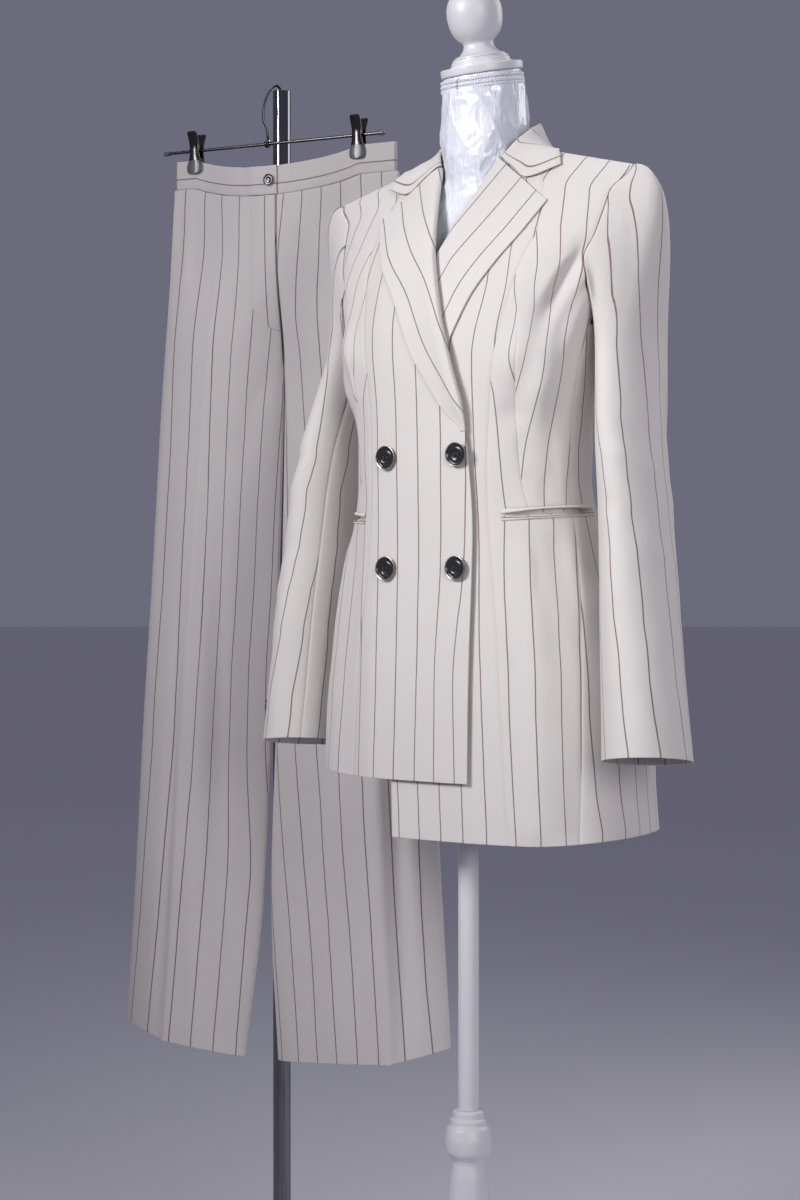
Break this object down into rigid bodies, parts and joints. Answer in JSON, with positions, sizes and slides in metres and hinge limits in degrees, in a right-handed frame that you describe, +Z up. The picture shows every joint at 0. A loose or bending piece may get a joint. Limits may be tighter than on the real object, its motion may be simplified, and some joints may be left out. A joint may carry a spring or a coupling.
{
  "type": "two-piece suit on dress form and trouser hanger stand",
  "caption": "Pinstriped double-breasted jacket with notch lapels on a limbless dress form, and matching wide-leg trousers clipped to a hanger on a post.",
  "frame": {"origin": "on the floor under the middle of the whole object's bounding box", "axes": "+Z up; the jacket faces -Y and its wearer's left is +X; the trousers hang at -X, turned 14 degrees about Z"},
  "size_m": [0.888, 0.484, 1.5988],
  "materials": {
    "pinstriped_crepe": "ivory twill crepe with thin burgundy pinstripes",
    "black_button": "glossy black with a thin silver rim",
    "white_satin": "white satin under clear film",
    "white_lacquer": "smooth white satin paint on turned wood and steel",
    "dark_steel": "dark plated steel wire and sheet",
    "chrome": "polished chrome plate",
    "black_foot": "black powder coat"
  },
  "bodies": {
    "root": {"front_left": "pinstriped_crepe", "front_right": "pinstriped_crepe", "side_front_left": "pinstriped_crepe", "side_front_right": "pinstriped_crepe", "side_left": "pinstriped_crepe", "side_right": "pinstriped_crepe", "back_left": "pinstriped_crepe", "back_right": "pinstriped_crepe", "lapel_left": "pinstriped_crepe", "lapel_right": "pinstriped_crepe", "sleeve_top_left": "pinstriped_crepe", "sleeve_top_right": "pinstriped_crepe", "sleeve_under_left": "pinstriped_crepe", "sleeve_under_right": "pinstriped_crepe", "welt_upper_left": "pinstriped_crepe", "welt_upper_right": "pinstriped_crepe", "welt_lower_left": "pinstriped_crepe", "welt_lower_right": "pinstriped_crepe", "trouser_front_left": "pinstriped_crepe", "trouser_front_right": "pinstriped_crepe", "trouser_back_left": "pinstriped_crepe", "trouser_back_right": "pinstriped_crepe", "collar": "pinstriped_crepe", "waistband": "pinstriped_crepe", "fly": "pinstriped_crepe", "button_front_1": "black_button", "button_front_2": "black_button", "button_front_3": "black_button", "button_front_4": "black_button", "button_sleeve_left": "black_button", "button_sleeve_right": "black_button", "button_waist": "black_button", "form_torso": "white_satin", "neck_cap": "white_lacquer", "finial": "white_lacquer", "form_pole": "white_lacquer", "form_column": "white_lacquer", "form_leg_1": "white_lacquer", "form_leg_2": "white_lacquer", "form_leg_3": "white_lacquer", "hanger_rod": "dark_steel", "clip_front_left": "dark_steel", "clip_front_right": "dark_steel", "clip_back_left": "dark_steel", "clip_back_right": "dark_steel", "hanger_hook": "chrome", "post_tube": "chrome", "rod_end_left": "chrome", "rod_end_right": "chrome", "post_foot": "black_foot"}
  },
  "joints": []
}
